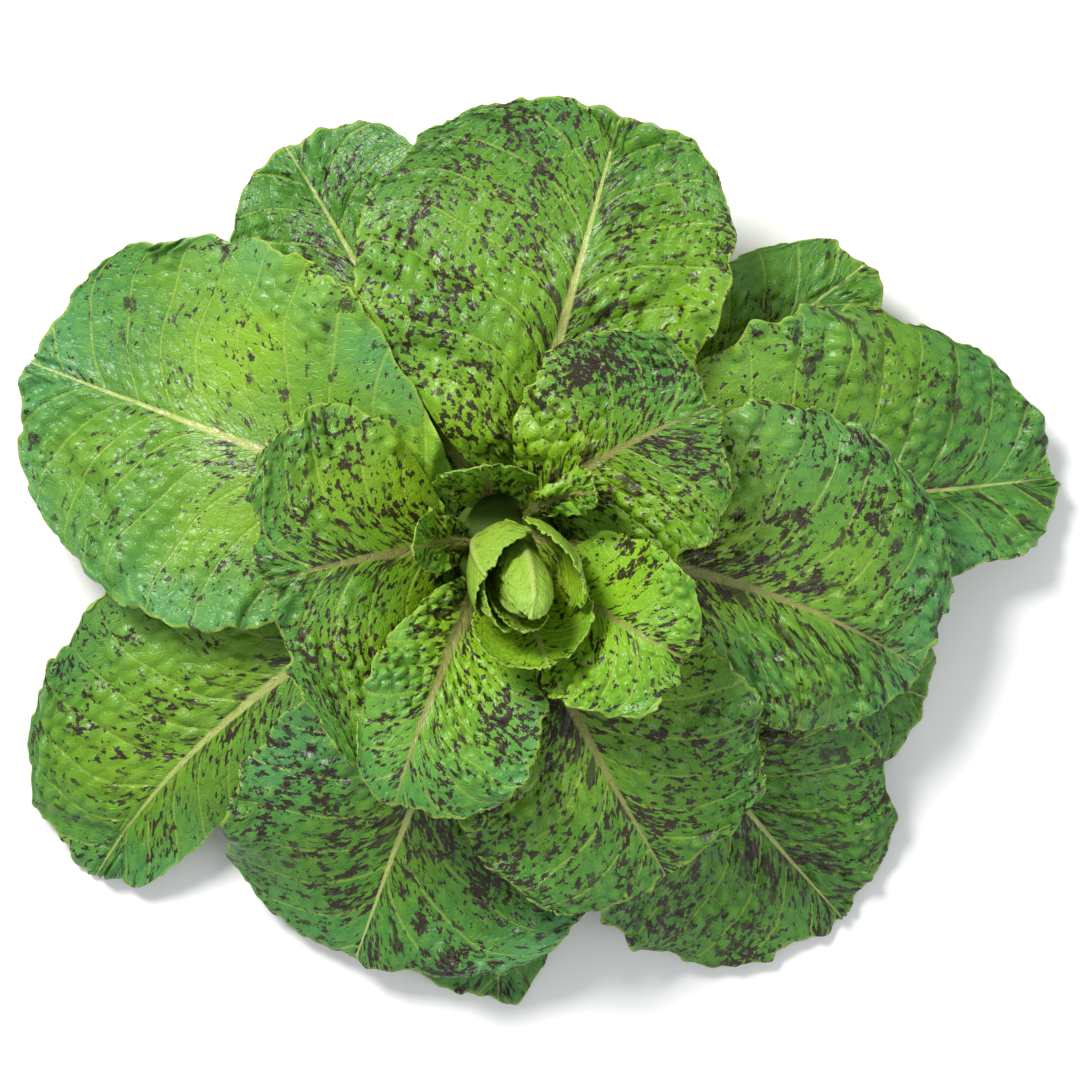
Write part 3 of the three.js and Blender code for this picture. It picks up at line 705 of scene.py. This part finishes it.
def mark_group():
    """Masks of the dark dashes and blotches that follow the flow of the veins."""
    group, given, out = new_group(
        "speckling",
        [("Stream", "Float", 0.0), ("Sideways", "Float", 0.0), ("Seed", "Float", 0.0),
         ("Speckle", "Float", 0.5), ("Blotch", "Float", 0.4), ("Across", "Float", 0.0),
         ("Along", "Float", 0.5)],
        [("Dashes", "Float"), ("Blotches", "Float")])
    own = calc(group, "MULTIPLY", given["Seed"], 7.3)
    crosswise = calc(group, "MULTIPLY", given["Stream"], 1.9)
    place = combine(group, crosswise, given["Sideways"], own)
    near = ramp(group, calc(group, "ABSOLUTE", given["Across"]), 0.0, 16.0, 1.0, 0.0)
    near = calc(group, "MULTIPLY", near, ramp(group, given["Along"], 0.1, 0.9, 1.0, 0.2))
    dashes = noise(group, place, 0.3, 3.0, 0.6)
    patches = noise(group, combine(group, given["Stream"], given["Sideways"], own), 0.055, 2.0)
    level = calc(group, "MULTIPLY_ADD", given["Speckle"], -0.2, 0.69)
    level = calc(group, "MULTIPLY_ADD", calc(group, "SUBTRACT", 0.5, patches), 0.45, level)
    level = calc(group, "MULTIPLY_ADD", near, -0.05, level)
    above = calc(group, "SUBTRACT", dashes, level)
    group.links.new(ramp(group, above, -0.012, 0.035), out["Dashes"])
    stretched = combine(group, calc(group, "MULTIPLY", given["Stream"], 2.2), given["Sideways"], own)
    stains = noise(group, stretched, 0.1, 4.0, 0.62)
    limit = calc(group, "MULTIPLY_ADD", given["Blotch"], -0.22, 0.70)
    limit = calc(group, "MULTIPLY_ADD", near, -0.1, limit)
    group.links.new(ramp(group, calc(group, "SUBTRACT", stains, limit), -0.01, 0.06), out["Blotches"])
    return group


def colour_group():
    """Leaf colour from its place on the blade, its veins and its marks, with a painted bluish sky reflection
    towards the margins.
    """
    group, given, out = new_group(
        "leaf colour",
        [("Along", "Float", 0.0), ("Margin", "Float", 0.0), ("Quilt", "Float", 0.0), ("Under", "Float", 0.0),
         ("Patches", "Float", 0.5), ("Midrib", "Float", 0.0), ("Side Veins", "Float", 0.0),
         ("Net", "Float", 0.0), ("Dashes", "Float", 0.0), ("Blotches", "Float", 0.0),
         ("Blue", "Float", 0.2), ("Pale", "Float", 0.4),
         ("Young", "Color", (0.20, 0.37, 0.003, 1)), ("Grown", "Color", (0.024, 0.13, 0.003, 1)),
         ("Sky Reflection", "Color", (0.045, 0.21, 0.075, 1)), ("Rib", "Color", (0.40, 0.44, 0.13, 1)),
         ("Mark", "Color", (0.022, 0.008, 0.007, 1))],
        [("Color", "Color")])
    patches = calc(group, "SUBTRACT", given["Patches"], 0.5)
    age = calc(group, "MULTIPLY_ADD", patches, 1.3, given["Along"])
    age = calc(group, "SUBTRACT", age, calc(group, "MULTIPLY", given["Pale"], 0.55))
    body = blend(group, ramp(group, age, -0.35, 0.85), given["Young"], given["Grown"])
    # painted reflection: a bluish tint of the sky, strongest at each leaf's margin, as much as its blue
    # amount says, in uneven patches
    sky_reflection = calc(group, "MULTIPLY", ramp(group, given["Margin"], 0.0, 30.0, 1.0, 0.25), given["Blue"])
    uneven = ramp(group, calc(group, "MULTIPLY_ADD", patches, 2.2, 0.6), 0.1, 1.1, 0.3, 2.2)
    sky_reflection = calc(group, "MULTIPLY", sky_reflection, uneven, clamp=True)
    body = blend(group, sky_reflection, body, given["Sky Reflection"])
    lighter = blend(group, 0.4, body, (0.25, 0.50, 0.04, 1))
    body = blend(group, calc(group, "MULTIPLY", given["Quilt"], 0.45), body, lighter)
    rim = calc(group, "MULTIPLY", ramp(group, given["Margin"], 0.0, 1.6, 1.0, 0.0), 0.6)
    body = blend(group, rim, body, (0.32, 0.44, 0.05, 1))
    body = blend(group, calc(group, "MULTIPLY", given["Net"], 0.3), body, (0.24, 0.42, 0.03, 1))
    body = blend(group, calc(group, "MULTIPLY", given["Side Veins"], 0.4), body, (0.30, 0.42, 0.06, 1))
    stain = blend(group, 0.85, body, given["Mark"])
    body = blend(group, calc(group, "MULTIPLY", given["Blotches"], 0.95), body, stain)
    body = blend(group, calc(group, "MULTIPLY", given["Dashes"], 0.95), body, given["Mark"])
    body = blend(group, calc(group, "MULTIPLY", given["Midrib"], 0.85), body, given["Rib"])
    pale = blend(group, 0.45, body, (0.30, 0.45, 0.07, 1))
    body = blend(group, given["Under"], body, pale)
    group.links.new(body, out["Color"])
    return group


def relief_group():
    """Height of the fine surface: crinkles between the veins, the veins' grooves and tiny pores."""
    group, given, out = new_group(
        "leaf relief",
        [("Quilt", "Float", 0.0), ("Side Veins", "Float", 0.0), ("Net", "Float", 0.0),
         ("Crinkle", "Float", 0.5), ("Pores", "Float", 0.5)],
        [("Height", "Float")])
    height = calc(group, "MULTIPLY", given["Quilt"], 0.25)
    height = calc(group, "MULTIPLY_ADD", given["Side Veins"], -0.35, height)
    height = calc(group, "MULTIPLY_ADD", given["Net"], -0.3, height)
    height = calc(group, "MULTIPLY_ADD", given["Crinkle"], 0.9, height)
    height = calc(group, "MULTIPLY_ADD", given["Pores"], 0.12, height)
    group.links.new(height, out["Height"])
    return group


def use_group(tree, group, **values):
    node = tree.nodes.new("ShaderNodeGroup")
    node.node_tree = group
    for label, value in values.items():
        feed(tree, node.inputs[label.replace("_", " ")], value)
    return node.outputs


def leaf_material(name, groups, spacing, roughness, colours):
    material = bpy.data.materials.new(name)
    material.use_nodes = True
    tree = material.node_tree
    shader = tree.nodes["Principled BSDF"]
    along, quilt = stored(tree, "along"), stored(tree, "quilt")
    flow = tree.nodes.new("ShaderNodeUVMap")
    flow.uv_map = "flow"
    parts = tree.nodes.new("ShaderNodeSeparateXYZ")
    tree.links.new(flow.outputs[0], parts.inputs[0])
    stream = calc(tree, "MULTIPLY", parts.outputs[0], 1 / FLOW_SCALE)
    sideways = calc(tree, "MULTIPLY", parts.outputs[1], 1 / FLOW_SCALE)
    seed = stored(tree, "seed")
    veins = use_group(tree, groups["veins"], Across=stored(tree, "across"), Along=along, Quilt=quilt,
                      Lateral=stored(tree, "lateral"), Stream=stream, Sideways=sideways, Spacing=spacing)
    marks = use_group(tree, groups["marks"], Stream=stream, Sideways=sideways, Seed=seed,
                      Speckle=stored(tree, "speckle"), Blotch=stored(tree, "blotch"),
                      Across=stored(tree, "across"), Along=along)
    texture = tree.nodes.new("ShaderNodeTexCoord")
    patches = noise(tree, texture.outputs["Object"], 24.0, 3.0)
    colour = use_group(tree, groups["colour"], Along=along, Margin=stored(tree, "margin"), Quilt=quilt,
                       Under=stored(tree, "under"), Patches=patches, Midrib=veins["Midrib"],
                       Side_Veins=veins["Side Veins"], Net=veins["Net"], Dashes=marks["Dashes"],
                       Blotches=marks["Blotches"], Blue=stored(tree, "blue"), Pale=stored(tree, "pale"),
                       **colours)
    tree.links.new(colour["Color"], shader.inputs["Base Color"])
    relief = use_group(tree, groups["relief"], Quilt=quilt, Side_Veins=veins["Side Veins"], Net=veins["Net"],
                       Crinkle=noise(tree, texture.outputs["Object"], 170.0, 3.0, 0.55),
                       Pores=noise(tree, texture.outputs["Object"], 1500.0, 1.0))
    bump = tree.nodes.new("ShaderNodeBump")
    bump.inputs["Strength"].default_value = 0.55
    bump.inputs["Distance"].default_value = 0.0011
    tree.links.new(relief["Height"], bump.inputs["Height"])
    tree.links.new(bump.outputs[0], shader.inputs["Normal"])
    shader.inputs["Roughness"].default_value = roughness
    shader.inputs["Specular IOR Level"].default_value = 0.36
    return material


def stem_material():
    material = bpy.data.materials.new("stem")
    material.use_nodes = True
    tree = material.node_tree
    shader = tree.nodes["Principled BSDF"]
    texture = tree.nodes.new("ShaderNodeTexCoord")
    streaks = noise(tree, texture.outputs["Object"], 90.0, 4.0, 0.6)
    parts = tree.nodes.new("ShaderNodeSeparateXYZ")
    tree.links.new(texture.outputs["Object"], parts.inputs[0])
    skin = blend(tree, streaks, (0.52, 0.58, 0.28, 1), (0.70, 0.71, 0.47, 1))
    green = ramp(tree, parts.outputs[2], 0.012, 0.028)
    skin = blend(tree, green, skin, (0.07, 0.13, 0.012, 1))
    cut = ramp(tree, parts.outputs[2], 0.0, 0.0025, 0.75, 0.0)
    rust = calc(tree, "MULTIPLY", cut, ramp(tree, streaks, 0.35, 0.65))
    tree.links.new(blend(tree, rust, skin, (0.36, 0.17, 0.06, 1)), shader.inputs["Base Color"])
    bump = tree.nodes.new("ShaderNodeBump")
    bump.inputs["Strength"].default_value = 0.4
    bump.inputs["Distance"].default_value = 0.0008
    tree.links.new(streaks, bump.inputs["Height"])
    tree.links.new(bump.outputs[0], shader.inputs["Normal"])
    shader.inputs["Roughness"].default_value = 0.55
    return material


# ---------------------------------------------------------------- the stem
CUT_RADIUS = 13.2
CUT_EDGE = 1.2  # height of the straight band round the cut face
NECK = (13.8, 2.4)  # radius and height of the butt at its widest, just above the band
CROWN_TOP = 48  # elevation on the crown where the core starts
CROWN_FOOT = 11  # height of the lowest ring of the crown
CORE = [(9.5, 38), (7.2, 42), (5.0, 46), (2.8, 50), (0.9, 53.2), (0.3, 53.9)]  # radius and height
SCAR_DEPTH = 0.35  # of the hollows between the ridges that the leaves' bases leave


def build_stem(material):
    """Cut face, swollen crown and tapering core, with a ridge where each whorl of leaves stood."""
    bpy.ops.object.select_all(action="DESELECT")
    bpy.ops.mesh.primitive_cylinder_add(vertices=96, radius=CUT_RADIUS * MM, depth=CUT_EDGE * MM,
                                        location=(0, 0, CUT_EDGE / 2 * MM))
    stem = bpy.context.object
    stem.name = "stem_core"
    bpy.ops.object.transform_apply(location=True, rotation=False, scale=False)
    bpy.ops.object.mode_set(mode="EDIT")
    bpy.ops.mesh.select_all(action="DESELECT")
    bpy.ops.object.mode_set(mode="OBJECT")
    top = max(stem.data.polygons, key=lambda face: face.center.z)
    for face in stem.data.polygons:
        face.select = face.index == top.index
    bpy.ops.object.mode_set(mode="EDIT")
    rings = [NECK]
    for elevation in range(-48, CROWN_TOP + 1, 4):
        radius = CROWN_RADIUS * math.cos(math.radians(elevation)) - SCAR_DEPTH * (elevation % 12 != 0)
        level = CROWN[2] + CROWN_RADIUS * math.sin(math.radians(elevation))
        if level > CROWN_FOOT:
            rings.append((radius, level))
    reached, height = CUT_RADIUS, CUT_EDGE
    for radius, level in rings + CORE:
        bpy.ops.mesh.extrude_region_move(TRANSFORM_OT_translate={"value": (0, 0, (level - height) * MM)})
        ratio = radius / reached
        bpy.ops.transform.resize(value=(ratio, ratio, 1), center_override=(0, 0, level * MM))
        reached, height = radius, level
    bpy.ops.mesh.select_all(action="SELECT")
    bpy.ops.mesh.normals_make_consistent(inside=False)
    bpy.ops.object.mode_set(mode="OBJECT")
    for vertex in stem.data.vertices:
        above = max(0, vertex.co.z - CORE_BASE * MM)
        vertex.co.x += LEAN[0] * above
        vertex.co.y += LEAN[1] * above
    bpy.ops.object.shade_smooth_by_angle(angle=math.radians(40))
    stem.data.materials.append(material)
    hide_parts("stem")
    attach(stem, "root")


# ---------------------------------------------------------------- the head
def solid_tree():
    """Everything that the leaves must stay clear of."""
    points, faces = [], []
    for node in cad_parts.values():
        first = len(points)
        points += [v.co.copy() for v in node.data.vertices]
        faces += [[first + k for k in face.vertices] for face in node.data.polygons]
    return BVHTree.FromPolygons(points, faces)


MIDDLE_GREENS = dict(Young=(0.22, 0.38, 0.004, 1), Grown=(0.026, 0.135, 0.005, 1), Rib=(0.24, 0.24, 0.07, 1))
INNER_GREENS = dict(Young=(0.25, 0.46, 0.008, 1), Grown=(0.05, 0.21, 0.008, 1), Rib=(0.25, 0.25, 0.07, 1))
HEART_GREENS = dict(Young=(0.29, 0.47, 0.012, 1), Grown=(0.09, 0.27, 0.01, 1))

place_camera()
light_the_table()
lay_floor()
groups = {"veins": vein_group(), "marks": mark_group(), "colour": colour_group(), "relief": relief_group()}
materials = {
    "outer": leaf_material("outer leaf", groups, OUTER["vein"], 0.36, {}),
    "middle": leaf_material("middle leaf", groups, MIDDLE["vein"], 0.36, MIDDLE_GREENS),
    "inner": leaf_material("inner leaf", groups, INNER["vein"], 0.36, INNER_GREENS),
    "heart": leaf_material("heart leaf", groups, HEART["vein"], 0.42, HEART_GREENS),
}
tree = solid_tree()
for leaf_name, leaf_look in LEAVES.items():
    finish_leaf(leaf_name, leaf_look, tree, materials[leaf_name.split("_")[0]])
build_stem(stem_material())
